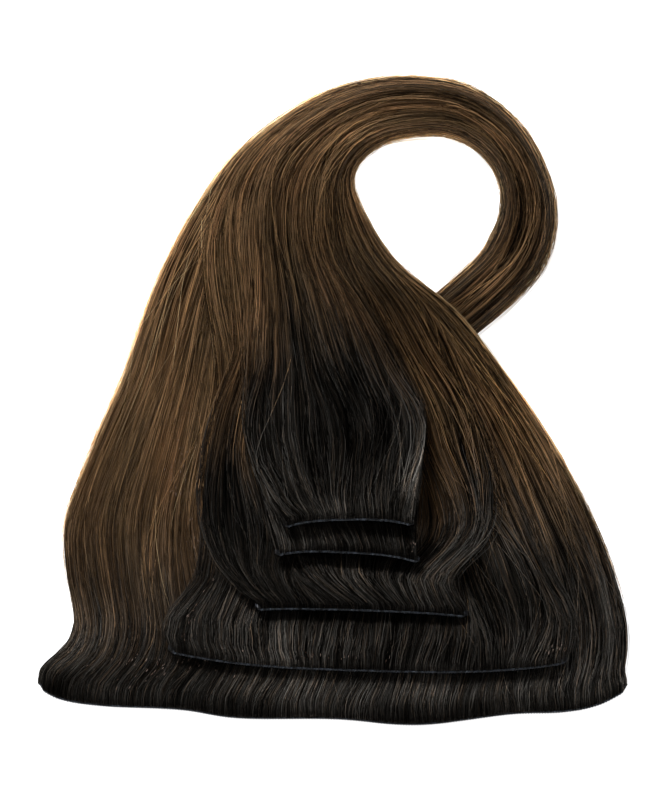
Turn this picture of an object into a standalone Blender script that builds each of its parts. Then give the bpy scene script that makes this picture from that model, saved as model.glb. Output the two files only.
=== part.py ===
"""Clip-in hair extension: five sewn wefts stacked by width, their hair combed together into one looped hank.

It lies flat. Each weft is a sewn band, snap clips under the band, and a layer of hair in locks. All five
layers sweep up from their bands, turn round one loop and pass back under the body to their cut ends.
"""

import math
from collections import namedtuple

import bpy
import numpy as np
from mathutils import Vector
from mathutils.bvhtree import BVHTree

# Driving sizes, in metres
FAN_WIDTH = 0.250  # the widest weft, end to end
FAN_LENGTH = 0.275  # from the lowest point of the widest band to the top of the loop
HAIR_LENGTH = 0.500  # every weft, from its band to the cut ends
LOOP_RADIUS = 0.0305  # inside of the loop
HANK_WIDTH = 0.0233  # the gathered hair, across
TAIL_RADIUS = 0.450  # the slack curve of the tail under the body
BAND_DEPTH = 0.0030
BAND_THICKNESS = 0.0016
BAND_ROUNDING = 0.0005
CLIP_LENGTH = 0.032
CLIP_DEPTH = 0.0105
CLIP_THICKNESS = 0.0028
CLIP_ROUNDING = 0.0006
CLIP_INSET = 0.0004  # from the band's outer edge
SEWING_GAP = 0.0003  # between a band and its hair, and a band and its clips
LAYER_GAP = 0.0005  # between one layer of hair and the next
LOCK_GROOVE = 0.0011  # how deep the partings between locks are
MERGE_LENGTH = 0.050  # hair leaves its band straight and joins the fan's sweep over this length
SPREAD_LENGTH = 0.100  # and over this length it takes its own share of the fan
DROP_LENGTH = 0.022  # hair comes down from the clips to what lies below it over this length
HUMP_FLAT = 0.015  # the body keeps its full height this far beside the tail under it
HUMP_SLOPE = 0.045  # and comes down to the floor over this much more
TIP_STAGGER = 0.008  # locks of one weft end unevenly by this much
TIP_RHYTHM = 1.37  # uneven ends to a lock: not a whole number, so no two locks end alike
STATION_STEP = 0.0155  # between two sections of a layer
TIP_LENGTH = 0.060  # the ends thin out over this length

# Where the loop is, as shares of the fan's width and length
LOOP_ACROSS = 0.163
LOOP_UP = 0.790
TAIL_SECTIONS = 7

LoopSection = namedtuple("LoopSection", "turn inside width")
# The loop, clockwise: degrees round its centre from +X, and the shares of LOOP_RADIUS and HANK_WIDTH there.
LOOP = (
    LoopSection(95.0, 1.08, 1.05),
    LoopSection(72.0, 1.10, 0.96),
    LoopSection(48.0, 1.10, 0.87),
    LoopSection(24.0, 1.07, 0.86),
    LoopSection(0.0, 1.00, 1.00),
    LoopSection(-24.0, 0.92, 1.11),
    LoopSection(-48.0, 0.92, 1.05),
)

Weft = namedtuple(
    "Weft",
    "name width across up rise bow clips thickness locks fan_left fan_right hank_left hank_right",
)
# width and thickness are metres. across and up place the middle of the band's two ends, as shares of the fan.
# rise lifts the right end above the left, and bow the middle above both, as shares of the weft's own width.
# Its hair spreads over the fan from share fan_left to fan_right, and over the hank from hank_left to hank_right.
WEFTS = (
    Weft("weft_1", FAN_WIDTH, 0.000, 0.0525, -0.003, 0.000, 4, 0.0044, 10, 0.00, 1.00, 0.00, 1.00),
    Weft("weft_2", 0.169, 0.0585, 0.1026, -0.028, -0.034, 3, 0.0031, 8, 0.21, 0.88, 0.04, 0.96),
    Weft("weft_3", 0.090, 0.0483, 0.1705, -0.033, 0.014, 2, 0.0023, 6, 0.26, 0.84, 0.09, 0.91),
    Weft("weft_4", 0.061, 0.0237, 0.2539, -0.049, 0.049, 1, 0.0018, 4, 0.31, 0.72, 0.15, 0.85),
    Weft("weft_5", 0.055, 0.0263, 0.3040, 0.015, 0.058, 1, 0.0018, 4, 0.34, 0.68, 0.20, 0.80),
)
Sag = namedtuple("Sag", "along drop")
# The widest band lies in a shallow wave: its drop below the line between its ends, as shares of its width.
WIDEST_BAND = (
    Sag(0.00, 0.000),
    Sag(0.04, 0.019),
    Sag(0.11, 0.029),
    Sag(0.24, 0.035),
    Sag(0.34, 0.049),
    Sag(0.50, 0.050),
    Sag(0.61, 0.059),
    Sag(0.68, 0.057),
    Sag(0.80, 0.041),
    Sag(0.89, 0.037),
    Sag(0.95, 0.025),
    Sag(1.00, 0.000),
)

Section = namedtuple("Section", "left_across left_up right_across right_up")
# The fan from just above the widest band to the loop: the two edges, as shares of the fan's width and length.
FAN_SECTIONS = (
    Section(-0.480, 0.096, 0.495, 0.082),
    Section(-0.451, 0.128, 0.500, 0.119),
    Section(-0.441, 0.165, 0.497, 0.165),
    Section(-0.454, 0.231, 0.478, 0.231),
    Section(-0.454, 0.316, 0.441, 0.316),
    Section(-0.405, 0.435, 0.373, 0.432),
    Section(-0.356, 0.540, 0.298, 0.532),
    Section(-0.305, 0.671, 0.207, 0.636),
    Section(-0.241, 0.787, 0.105, 0.715),
    Section(-0.159, 0.887, 0.046, 0.801),
    Section(-0.046, 0.960, 0.036, 0.853),
    Section(0.049, 0.992, 0.080, 0.894),
)
NECK_START = 8  # the body lies over the tail up to this section, counted with the band as 0
NECK_END = 11  # and is down on the floor by this one

Thickness = namedtuple("Thickness", "along share")
# How thick a layer is along its hair, as a share of the weft's own thickness.
LAYER_THICKNESS = (
    Thickness(0.00, 0.45),
    Thickness(0.03, 0.70),
    Thickness(0.15, 0.75),
    Thickness(0.45, 1.00),
    Thickness(0.86, 1.00),
    Thickness(1.00, 0.35),
)
EDGE_SHARE = 0.35  # a layer's thickness at its two sides
GROOVE_SHARE = 0.40  # a parting cuts no deeper than this share of its layer
PROBES = 15  # how many places across a clip or a band are felt for what lies below
ROOT_STEPS = (0.0, 0.25, 0.5, 0.8, 1.2, 1.6)  # the first sections of a layer, as shares of DROP_LENGTH

COLOURS = {
    "hair": ((0.045, 0.026, 0.012), 0.42, 0.0),
    "band": ((0.012, 0.014, 0.018), 0.30, 0.0),
    "clip": ((0.020, 0.018, 0.017), 0.35, 0.8),
}


def smooth(value, start, end):
    """0 before start, 1 after end, and an even S between them."""
    share = np.clip((value - start) / (end - start), 0.0, 1.0)
    return share * share * (3.0 - 2.0 * share)


def turned(degrees):
    """The unit vector at this angle from +X."""
    angle = math.radians(degrees)
    return np.array([math.cos(angle), math.sin(angle)])


def through(points, per_span=16):
    """A smooth line through the points, as many short steps, with the row number of each step."""
    points = np.array(points)
    ends = np.vstack([2 * points[0] - points[1], points, 2 * points[-1] - points[-2]])
    made = []
    for i in range(len(points) - 1):
        before, start, end, after = ends[i : i + 4]
        for t in np.arange(per_span) / per_span:
            made.append(
                0.5
                * (
                    2 * start
                    + (end - before) * t
                    + (2 * before - 5 * start + 4 * end - after) * t**2
                    + (3 * start - before - 3 * end + after) * t**3
                )
            )
    made.append(points[-1])
    return np.array(made), np.arange(len(made)) / per_span


def band_point(weft, share, depth=0.0):
    """A point on a band: share runs from its left end to its right, depth from its outer edge inwards."""
    share = np.asarray(share, float)
    middle = np.array([weft.across * FAN_WIDTH, weft.up * FAN_LENGTH])
    reach = np.clip(share, 0.0, 1.0) * 2.0 - 1.0
    bow = weft.bow * (1.0 - np.abs(reach) ** 3)
    if weft is WEFTS[0]:
        sag, _ = through(WIDEST_BAND)
        bow = bow - np.interp(share, sag[:, 0], sag[:, 1])
    across = (share - 0.5) * weft.width
    up = ((share - 0.5) * weft.rise + bow) * weft.width + depth
    return np.stack([middle[0] + across, middle[1] + up], axis=-1)


def edge_rows():
    """The left and right edge points of every section, from the widest band to the end of the tail."""
    root = band_point(WEFTS[0], np.array([0.0, 1.0]), BAND_DEPTH + SEWING_GAP)
    size = np.array([FAN_WIDTH, FAN_LENGTH])
    rows = [(root[0], root[1])]
    for row in FAN_SECTIONS:
        left = np.array([row.left_across, row.left_up]) * size
        right = np.array([row.right_across, row.right_up]) * size
        rows.append((left, right))
    centre = np.array([LOOP_ACROSS, LOOP_UP]) * size
    for row in LOOP:
        way = turned(row.turn)
        inside = row.inside * LOOP_RADIUS
        rows.append((centre + way * (inside + row.width * HANK_WIDTH), centre + way * inside))
    half_width = row.width * HANK_WIDTH / 2
    tail_centre = centre + way * (inside + half_width - TAIL_RADIUS)
    step = math.degrees(HAIR_LENGTH / 2 / TAIL_SECTIONS / TAIL_RADIUS)
    for number in range(1, TAIL_SECTIONS + 1):
        way = turned(row.turn - number * step)
        outer = tail_centre + way * (TAIL_RADIUS + half_width)
        inner = tail_centre + way * (TAIL_RADIUS - half_width)
        rows.append((outer, inner))
    return rows


def quads(rows, columns):
    """The faces of a grid of points, facing up."""
    return [
        (i * columns + j, i * columns + j + 1, (i + 1) * columns + j + 1, (i + 1) * columns + j)
        for i in range(rows - 1)
        for j in range(columns - 1)
    ]


class Sweep:
    """The way that the hair takes: a place is a distance along it and a share across it, from left to right."""

    def __init__(self):
        rows = edge_rows()
        self.left, self.row = through([row[0] for row in rows])
        self.right, _ = through([row[1] for row in rows])
        middle = (self.left + self.right) / 2
        steps = np.linalg.norm(np.diff(middle, axis=0), axis=1)
        self.along = np.concatenate([[0.0], np.cumsum(steps)])

    def at_row(self, row):
        return float(np.interp(row, self.row, self.along))

    def edges(self, along):
        left = np.stack([np.interp(along, self.along, self.left[:, k]) for k in (0, 1)], axis=-1)
        right = np.stack([np.interp(along, self.along, self.right[:, k]) for k in (0, 1)], axis=-1)
        return left, right

    def point(self, along, across):
        left, right = self.edges(along)
        return left + (right - left) * np.asarray(across)[..., None]

    def across_of(self, along, point):
        left, right = self.edges(along)
        chord = right - left
        return float(np.dot(point - left, chord) / np.dot(chord, chord))

    def nearest(self, point, last):
        """The distance along the sweep, before last, whose section passes nearest to the point."""
        tried = self.along[self.along <= last]
        left, right = self.edges(tried)
        chord = right - left
        share = np.clip(((point - left) * chord).sum(1) / (chord * chord).sum(1), 0.0, 1.0)
        gap = np.linalg.norm(left + chord * share[:, None] - point, axis=1)
        return float(tried[np.argmin(gap)])


class Layer:
    """One weft's hair: its places in plan, and its height over what lies below."""

    def __init__(self, weft, sweep):
        self.weft = weft
        self.sweep = sweep
        self.neck = sweep.at_row(NECK_END)
        root = band_point(weft, np.array([0.0, 0.5, 1.0]), BAND_DEPTH + SEWING_GAP)
        middle = (root[0] + root[2]) / 2
        self.start = 0.0 if weft is WEFTS[0] else sweep.nearest(middle, self.neck)
        self.root_left = sweep.across_of(self.start, root[0])
        self.root_right = sweep.across_of(self.start, root[2])
        first = [share * DROP_LENGTH for share in ROOT_STEPS]
        rest = int(round((HAIR_LENGTH - first[-1]) / STATION_STEP))
        self.away = np.array(first + list(np.linspace(first[-1], HAIR_LENGTH, rest + 1)[1:]))
        self.share = np.linspace(0.0, 1.0, 2 * weft.locks + 1)
        self.plan = self.place(*np.meshgrid(self.away, self.share, indexing="ij"))
        halfway = sweep.at_row(len(FAN_SECTIONS) + len(LOOP) / 2)
        self.turn = int(np.searchsorted(self.start + self.away, halfway))
        self.bottom = np.zeros(self.plan.shape[:2])
        self.full = self.thickness()

    def across(self, along, share):
        """The share of the sweep that this share of the layer lies at."""
        weft = self.weft
        spread = smooth(along, self.start, self.start + SPREAD_LENGTH)
        gathered = smooth(along, self.start + SPREAD_LENGTH, self.neck)
        left = self.root_left + (weft.fan_left - self.root_left) * spread
        right = self.root_right + (weft.fan_right - self.root_right) * spread
        left = left + (weft.hank_left - weft.fan_left) * gathered
        right = right + (weft.hank_right - weft.fan_right) * gathered
        return left + (right - left) * share

    def place(self, away, share):
        """The plan point this far from the band, with each lock's own end at the tip."""
        uneven = np.abs(np.sin(share * self.weft.locks * math.pi * TIP_RHYTHM)) * TIP_STAGGER
        away = away - uneven * smooth(away, HAIR_LENGTH - TIP_LENGTH, HAIR_LENGTH)
        along = self.start + away
        point = self.sweep.point(along, self.across(along, share))
        root = band_point(self.weft, share, BAND_DEPTH + SEWING_GAP)
        sewn = root - self.sweep.point(
            np.full_like(along, self.start), self.across(np.full_like(along, self.start), share)
        )
        return point + sewn * (1.0 - smooth(away, 0.0, MERGE_LENGTH))[..., None]

    def thickness(self):
        """The layer's height from bottom to top, before its partings are cut."""
        shares = np.interp(
            self.away / HAIR_LENGTH,
            [row.along for row in LAYER_THICKNESS],
            [row.share for row in LAYER_THICKNESS],
        )
        dome = EDGE_SHARE + (1.0 - EDGE_SHARE) * (1.0 - np.abs(2.0 * self.share - 1.0) ** 4)
        return self.weft.thickness * shares[:, None] * dome[None, :]

    def skin(self, rows):
        """The smooth upper surface over these sections, for the next layer to lie on."""
        top = np.dstack([self.plan, self.bottom + self.full])[rows]
        return BVHTree.FromPolygons([Vector(point) for point in top.reshape(-1, 3)], quads(*top.shape[:2]))


def lie_on(skins, point):
    """The height at which hair lies over this plan point: just over the highest skin there, or the floor."""
    above = Vector((point[0], point[1], 1.0))
    height = 0.0
    for skin in skins:
        hit = skin.ray_cast(above, Vector((0.0, 0.0, -1.0)))[0]
        if hit is not None:
            height = max(height, hit.z + LAYER_GAP)
    return height


def lift_clear(layer, rows, ground):
    """Lifts the sections wherever the straight run between two of them would cut into what lies below."""
    quarters = np.linspace(0.0, 1.0, 5)
    steps = [(a, b) for a in quarters for b in quarters]
    for _ in range(4):
        lift = np.zeros_like(layer.bottom)
        for i in rows[:-1]:
            for j in range(len(layer.share) - 1):
                square = (slice(i, i + 2), slice(j, j + 2))
                for a, b in steps:
                    weight = np.outer((1.0 - a, a), (1.0 - b, b))
                    point = (layer.plan[square] * weight[..., None]).sum((0, 1))
                    short = ground(point, layer.start + layer.away[i]) - (layer.bottom[square] * weight).sum()
                    if short > 0.0:
                        lift[square] = np.maximum(lift[square], short)
        if lift.max() < 1e-5:
            break
        layer.bottom += lift


def settle_tails(layers):
    """Stacks the stretches that lie under the body, from the widest weft's up.

    Each layer starts a section later than the one that it lies on, so it never starts past its support.
    """
    skins = []
    for number, layer in enumerate(layers):

        def ground(point, along=0.0):
            return lie_on(skins, point)

        rows = np.arange(layer.turn - len(layers) + number, len(layer.away))
        for i in rows:
            for j in range(len(layer.share)):
                layer.bottom[i, j] = ground(layer.plan[i, j])
        if skins:
            lift_clear(layer, rows, ground)
        skins.append(layer.skin(rows))


def tail_tops(layers, crossing):
    """The upper points of the stacked tails from where they pass under the body."""
    tops = []
    for layer in layers:
        hidden = layer.start + layer.away > crossing
        top = np.dstack([layer.plan, layer.bottom + layer.full])[hidden]
        tops.append(top.reshape(-1, 3))
    return np.vstack(tops)


def hump(tops, point):
    """How high the body is carried over the tails at this plan point."""
    distance = np.linalg.norm(tops[:, :2] - point, axis=1)
    fall = 1.0 - smooth(distance, HUMP_FLAT, HUMP_FLAT + HUMP_SLOPE)
    return float(((tops[:, 2] + LAYER_GAP) * fall).max())


def clip_frames(weft):
    """Where each clip of a weft is sewn: its middle in plan, and the angle of the band there."""
    frames = []
    for number in range(weft.clips):
        share = (number + 0.5) / weft.clips
        before, after = band_point(weft, share - 0.02), band_point(weft, share + 0.02)
        angle = math.atan2(after[1] - before[1], after[0] - before[0])
        inwards = np.array([-math.sin(angle), math.cos(angle)])
        edge = band_point(weft, share)
        frames.append((edge + inwards * (CLIP_INSET + CLIP_DEPTH / 2), angle))
    return frames


def clip_level(weft, ground):
    """The height of the clips' lower faces: just over the highest point under the clips and the band."""
    across = np.linspace(-0.5, 0.5, PROBES)
    heights = [ground(band_point(weft, share + 0.5)) for share in across]
    for middle, angle in clip_frames(weft):
        way = turned(math.degrees(angle)) * CLIP_LENGTH
        side = turned(math.degrees(angle) + 90.0) * CLIP_DEPTH
        heights += [ground(middle + way * a + side * b) for a in across for b in across]
    return max(heights)


def settle_bodies(layers, sweep):
    """Lays each weft's stretch before the turn on what lies below it, and returns the height of its clips."""
    crossing = sweep.at_row(len(FAN_SECTIONS) + len(LOOP) - 1)
    tops = tail_tops(layers, crossing)
    neck_start, neck_end = sweep.at_row(NECK_START), sweep.at_row(NECK_END)
    skins, levels = [], []
    for layer in layers:

        def ground(point, along=0.0):
            if skins:
                return lie_on(skins, point)
            return hump(tops, point) * (1.0 - smooth(along, neck_start, neck_end))

        level = clip_level(layer.weft, ground)
        root = level + CLIP_THICKNESS + SEWING_GAP
        for i in range(layer.turn):
            away = layer.away[i]
            carried = 1.0 - smooth(away, CLIP_DEPTH, CLIP_DEPTH + DROP_LENGTH)
            for j in range(len(layer.share)):
                below = float(ground(layer.plan[i, j], layer.start + away))
                rest = below + max(root - below, 0.0) * carried
                layer.bottom[i, j] = max(layer.bottom[i, j], rest)
        if skins:
            lift_clear(layer, np.arange(layer.turn), ground)
        skins.append(layer.skin(np.arange(layer.turn + 1)))
        levels.append(level)
    return levels


def new_material(name, kind):
    colour, roughness, metallic = COLOURS[kind]
    material = bpy.data.materials.new(name)
    material.use_nodes = True
    shader = material.node_tree.nodes["Principled BSDF"]
    shader.inputs["Base Color"].default_value = (*colour, 1.0)
    shader.inputs["Roughness"].default_value = roughness
    shader.inputs["Metallic"].default_value = metallic
    return material


def add(name, data, kind, collection):
    data.materials.append(new_material(name, kind))
    made = bpy.data.objects.new(name, data)
    collection.objects.link(made)
    return made


def hair_mesh(layer):
    """The layer as one closed loft: its upper face is parted into locks, and its lower face is plain."""
    rows, columns = layer.plan.shape[:2]
    parting = np.where(np.arange(columns) % 2 == 0, 1.0, 0.0)
    parting[[0, -1]] = 0.0
    deep = np.minimum(LOCK_GROOVE, layer.full * GROOVE_SHARE) * parting[None, :]
    top = np.dstack([layer.plan, layer.bottom + layer.full - deep]).reshape(-1, 3)
    bottom = np.dstack([layer.plan, layer.bottom]).reshape(-1, 3)
    offset = rows * columns
    upper = quads(rows, columns)
    lower = [tuple(k + offset for k in reversed(face)) for face in upper]
    rim = list(range(columns))
    rim += [i * columns + columns - 1 for i in range(1, rows)]
    rim += [(rows - 1) * columns + j for j in range(columns - 2, -1, -1)]
    rim += [i * columns for i in range(rows - 2, 0, -1)]
    sides = [(b, a, a + offset, b + offset) for a, b in zip(rim, rim[1:] + rim[:1])]
    mesh = bpy.data.meshes.new(layer.weft.name + "_hair")
    mesh.from_pydata(np.vstack([top, bottom]).tolist(), [], upper + lower + sides)
    mesh.shade_smooth()
    mesh.set_sharp_from_angle(angle=math.radians(60))
    return mesh


def flat_outline(name, points, thickness, rounding):
    """A flat plate: a filled 2D outline, extruded to its thickness with its rims rounded."""
    curve = bpy.data.curves.new(name, "CURVE")
    curve.dimensions = "2D"
    curve.fill_mode = "BOTH"
    curve.extrude = thickness / 2 - rounding
    curve.bevel_depth = rounding
    curve.bevel_resolution = 0
    curve.offset = -rounding
    spline = curve.splines.new("POLY")
    spline.points.add(len(points) - 1)
    for target, point in zip(spline.points, points):
        target.co = (point[0], point[1], 0.0, 1.0)
    spline.use_cyclic_u = True
    return curve


def band(weft, level, collection):
    """The sewn band that holds the roots."""
    shares = np.linspace(0.0, 1.0, max(8, int(weft.width / 0.010)) + 1)
    outer = band_point(weft, shares)
    inner = band_point(weft, shares[::-1], BAND_DEPTH)
    outline = np.vstack([outer, inner])
    curve = flat_outline(weft.name + "_band", outline, BAND_THICKNESS, BAND_ROUNDING)
    made = add(weft.name + "_band", curve, "band", collection)
    made.location.z = level + CLIP_THICKNESS + SEWING_GAP + BAND_THICKNESS / 2


def clip_outline():
    """A snap clip seen from below, closed: a bar with two round ends."""
    radius = CLIP_DEPTH / 2
    middle = CLIP_LENGTH / 2 - radius
    points = []
    for side, start in ((1, -90.0), (-1, 90.0)):
        for angle in np.linspace(start, start + 180.0, 7):
            way = turned(angle)
            points.append((side * middle + way[0] * radius, way[1] * radius))
    return points


def clips(weft, level, collection):
    for number, (middle, angle) in enumerate(clip_frames(weft), 1):
        name = f"{weft.name}_clip_{number}"
        curve = flat_outline(name, clip_outline(), CLIP_THICKNESS, CLIP_ROUNDING)
        made = add(name, curve, "clip", collection)
        made.location = (middle[0], middle[1], level + CLIP_THICKNESS / 2)
        made.rotation_euler.z = angle


def centre_on_floor(collection):
    """Moves everything so that the origin is under the middle of the object."""
    bpy.context.view_layer.update()
    corners = [
        made.matrix_world @ Vector(corner) for made in collection.objects for corner in made.bound_box
    ]
    low = [min(corner[k] for corner in corners) for k in range(3)]
    high = [max(corner[k] for corner in corners) for k in range(3)]
    shift = Vector(((low[0] + high[0]) / 2, (low[1] + high[1]) / 2, low[2]))
    for made in collection.objects:
        made.location -= shift


def main():
    for old in list(bpy.data.objects):
        bpy.data.objects.remove(old)
    collection = bpy.data.collections.new("clip_in_hair_extension")
    bpy.context.scene.collection.children.link(collection)
    sweep = Sweep()
    layers = [Layer(weft, sweep) for weft in WEFTS]
    settle_tails(layers)
    levels = settle_bodies(layers, sweep)
    for layer, level in zip(layers, levels):
        add(layer.weft.name + "_hair", hair_mesh(layer), "hair", collection)
        band(layer.weft, level, collection)
        clips(layer.weft, level, collection)
    centre_on_floor(collection)


main()
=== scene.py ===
import math
from collections import namedtuple

import bpy
import numpy as np
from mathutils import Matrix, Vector
from mathutils.bvhtree import BVHTree


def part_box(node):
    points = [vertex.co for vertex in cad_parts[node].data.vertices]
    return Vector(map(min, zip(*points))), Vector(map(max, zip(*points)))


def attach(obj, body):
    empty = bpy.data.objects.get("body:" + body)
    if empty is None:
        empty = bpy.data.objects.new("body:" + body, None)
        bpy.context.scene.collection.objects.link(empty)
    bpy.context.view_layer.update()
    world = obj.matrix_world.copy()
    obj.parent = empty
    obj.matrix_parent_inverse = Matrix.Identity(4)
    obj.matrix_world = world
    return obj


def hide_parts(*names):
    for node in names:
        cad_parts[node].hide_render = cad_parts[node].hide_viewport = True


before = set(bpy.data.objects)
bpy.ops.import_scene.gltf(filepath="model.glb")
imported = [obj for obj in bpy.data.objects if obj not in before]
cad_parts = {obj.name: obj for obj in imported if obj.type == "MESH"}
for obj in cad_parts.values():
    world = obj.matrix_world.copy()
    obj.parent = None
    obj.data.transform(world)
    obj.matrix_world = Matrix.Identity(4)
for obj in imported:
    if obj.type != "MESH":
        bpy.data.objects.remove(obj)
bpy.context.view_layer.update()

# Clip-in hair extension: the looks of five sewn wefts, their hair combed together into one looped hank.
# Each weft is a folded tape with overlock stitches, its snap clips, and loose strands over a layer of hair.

MM = 0.001

# The plan, in metres, as the part has it
FAN_WIDTH = 0.250
FAN_LENGTH = 0.275
FAN_SIZE = np.array([FAN_WIDTH, FAN_LENGTH])
HAIR_LENGTH = 0.500
LOOP_RADIUS = 0.0305
HANK_WIDTH = 0.0233
TAIL_RADIUS = 0.450
BAND_DEPTH = 0.0030
CLIP_LENGTH = 0.032
CLIP_DEPTH = 0.0105
CLIP_INSET = 0.0004
SEWING_GAP = 0.0003
ROOT_DEPTH = BAND_DEPTH + SEWING_GAP
MERGE_LENGTH = 0.050
SPREAD_LENGTH = 0.100
DROP_LENGTH = 0.022
TIP_STAGGER = 0.008
TIP_RHYTHM = 1.37
STATION_STEP = 0.0155
TIP_LENGTH = 0.060
LOOP_CENTRE = np.array([0.163, 0.790])
TAIL_SECTIONS = 7
NECK_END = 11
ROOT_STEPS = (0.0, 0.25, 0.5, 0.8, 1.2, 1.6)
LAYER_THICKNESS = ((0.00, 0.45), (0.03, 0.70), (0.15, 0.75), (0.45, 1.00), (0.86, 1.00), (1.00, 0.35))
# The loop's turn in degrees, and the shares of its radius and of the hank's width
LOOP = (
    (95.0, 1.08, 1.05),
    (72.0, 1.10, 0.96),
    (48.0, 1.10, 0.87),
    (24.0, 1.07, 0.86),
    (0.0, 1.00, 1.00),
    (-24.0, 0.92, 1.11),
    (-48.0, 0.92, 1.05),
)
Weft = namedtuple(
    "Weft",
    "name width across up rise bow clips thickness locks fan_left fan_right hank_left hank_right",
)
WEFTS = (
    Weft("weft_1", FAN_WIDTH, 0.000, 0.0525, -0.003, 0.000, 4, 0.0044, 10, 0.00, 1.00, 0.00, 1.00),
    Weft("weft_2", 0.169, 0.0585, 0.1026, -0.028, -0.034, 3, 0.0031, 8, 0.21, 0.88, 0.04, 0.96),
    Weft("weft_3", 0.090, 0.0483, 0.1705, -0.033, 0.014, 2, 0.0023, 6, 0.26, 0.84, 0.09, 0.91),
    Weft("weft_4", 0.061, 0.0237, 0.2539, -0.049, 0.049, 1, 0.0018, 4, 0.31, 0.72, 0.15, 0.85),
    Weft("weft_5", 0.055, 0.0263, 0.3040, 0.015, 0.058, 1, 0.0018, 4, 0.34, 0.68, 0.20, 0.80),
)
WIDEST = WEFTS[0]
# How far the widest band sags, along it
WIDEST_BAND = (
    (0.00, 0.000),
    (0.04, 0.019),
    (0.11, 0.029),
    (0.24, 0.035),
    (0.34, 0.049),
    (0.50, 0.050),
    (0.61, 0.059),
    (0.68, 0.057),
    (0.80, 0.041),
    (0.89, 0.037),
    (0.95, 0.025),
    (1.00, 0.000),
)
# The left and right edge points of the fan, as shares of its size
FAN_SECTIONS = (
    (-0.480, 0.096, 0.495, 0.082),
    (-0.451, 0.128, 0.500, 0.119),
    (-0.441, 0.165, 0.497, 0.165),
    (-0.454, 0.231, 0.478, 0.231),
    (-0.454, 0.316, 0.441, 0.316),
    (-0.405, 0.435, 0.373, 0.432),
    (-0.356, 0.540, 0.298, 0.532),
    (-0.305, 0.671, 0.207, 0.636),
    (-0.241, 0.787, 0.105, 0.715),
    (-0.159, 0.887, 0.046, 0.801),
    (-0.046, 0.960, 0.036, 0.853),
    (0.049, 0.992, 0.080, 0.894),
)
# The last row of sections where a layer is lifted clear of the ones under it
LIFTED_TO = len(FAN_SECTIONS) + 3

# How each weft is dressed. gold is how golden it is at its left and right sides, columns is how fine its
# layer is, long and short are its strands, puff is how far the roots stand up over the band, and lean is how
# far their tufts lean sideways.
Dress = namedtuple("Dress", "gold columns long short puff lean seed")
DRESS = {
    "weft_1": Dress((0.80, 0.90), 96, 2880, 1700, 0.0013, 0.12, 11),
    "weft_2": Dress((0.80, 0.90), 72, 1500, 1200, 0.0016, 0.24, 23),
    "weft_3": Dress((0.80, 0.80), 52, 1080, 800, 0.0018, 0.42, 37),
    "weft_4": Dress((0.50, 0.50), 40, 320, 520, 0.0014, 0.24, 41),
    "weft_5": Dress((0.50, 0.55), 40, 1300, 620, 0.0016, 0.34, 53),
}
# From left to right: the share across, and the millimetres from the band where the black roots end and the
# brown has come in
GROWTH = {
    "weft_1": ((0.00, 2, 122), (0.30, 8, 118), (0.70, 30, 130), (1.00, 34, 150)),
    "weft_2": ((0.00, 30, 130), (0.30, 26, 120), (0.75, 20, 110), (1.00, 36, 150)),
    "weft_3": (
        (0.00, 48, 120),
        (0.10, 46, 115),
        (0.24, 16, 85),
        (0.50, 30, 110),
        (0.74, 14, 75),
        (0.88, 44, 110),
        (1.00, 48, 120),
    ),
    "weft_4": ((0.00, 30, 110), (1.00, 30, 110)),
    "weft_5": ((0.00, 40, 105), (0.40, 58, 130), (0.70, 60, 135), (1.00, 42, 110)),
}
# Where lint has caught: each spot's share across, its millimetres from the band, its spread across and along
# in millimetres, and its number of specks
LINT = {
    "weft_1": ((0.20, 90, 3.0, 12.0, 34), (0.25, 60, 4.0, 10.0, 26), (0.19, 14, 14.0, 4.0, 46)),
    "weft_2": ((0.30, 2, 24.0, 0.8, 26), (0.97, 3, 3.0, 1.2, 12), (0.04, 12, 3.0, 9.0, 14)),
    "weft_4": ((0.97, 3, 1.0, 1.5, 5),),
}
# Painted highlight and painted shade, in soft patches where the lie of the hair turns it to or from the
# light: each one's middle across and up, and its reach across and up, in millimetres, and how light it leaves
# the hair there
PAINTED_LIGHT_PATCHES = (
    (16, 60, 27, 24, 0.16),
    (-12, 56, 16, 24, 0.45),
    (53, 38, 16, 22, 0.42),
    (25, 24, 26, 16, 0.35),
    (24, 43, 20, 11, 0.45),
    (78, 76, 14, 30, 0.24),
    (34, 112, 30, 4, 1.90),
    (-84, 36, 14, 44, 1.28),
    (-88, -93, 22, 13, 1.30),
    (-10, 86, 14, 14, 0.65),
    (-48, 20, 18, 28, 0.60),
    (0, -24, 34, 24, 0.42),
    (-118, -121, 11, 9, 0.08),
    (-60, 66, 30, 36, 1.25),
    (-31, -117, 26, 8, 3.20),
    (40, -118, 18, 8, 2.80),
    (108, -118, 20, 8, 2.00),
    (-2, -105, 20, 7, 2.60),
    (86, -106, 18, 9, 3.20),
    (53, -105, 9, 8, 0.35),
    (62, -76, 13, 8, 0.15),
    (75, -86, 12, 12, 0.35),
    (118, -92, 12, 20, 1.20),
    (108, -52, 18, 20, 0.45),
    (98, -66, 10, 10, 0.70),
    (-110, -98, 16, 14, 3.10),
    (80, 2, 17, 26, 1.75),
    (98, -22, 12, 16, 1.35),
    (53, -16, 12, 22, 1.50),
    (54, -42, 11, 14, 1.70),
    (29, -21, 6, 14, 3.40),
    (39, -19, 3, 18, 0.45),
    (41, -42, 6, 14, 1.90),
    (-95, -42, 12, 18, 1.30),
    (-88, -64, 24, 12, 1.30),
    (72, -60, 10, 9, 1.70),
    (31, -44, 6, 5, 0.35),
    (-31, -42, 12, 14, 2.60),
    (-52, -45, 12, 34, 1.60),
    (-76, -78, 20, 20, 2.20),
    (3, -46, 9, 5, 2.20),
    (2, -57, 7, 4, 2.00),
    (20, -125, 110, 7, 2.10),
)
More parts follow.
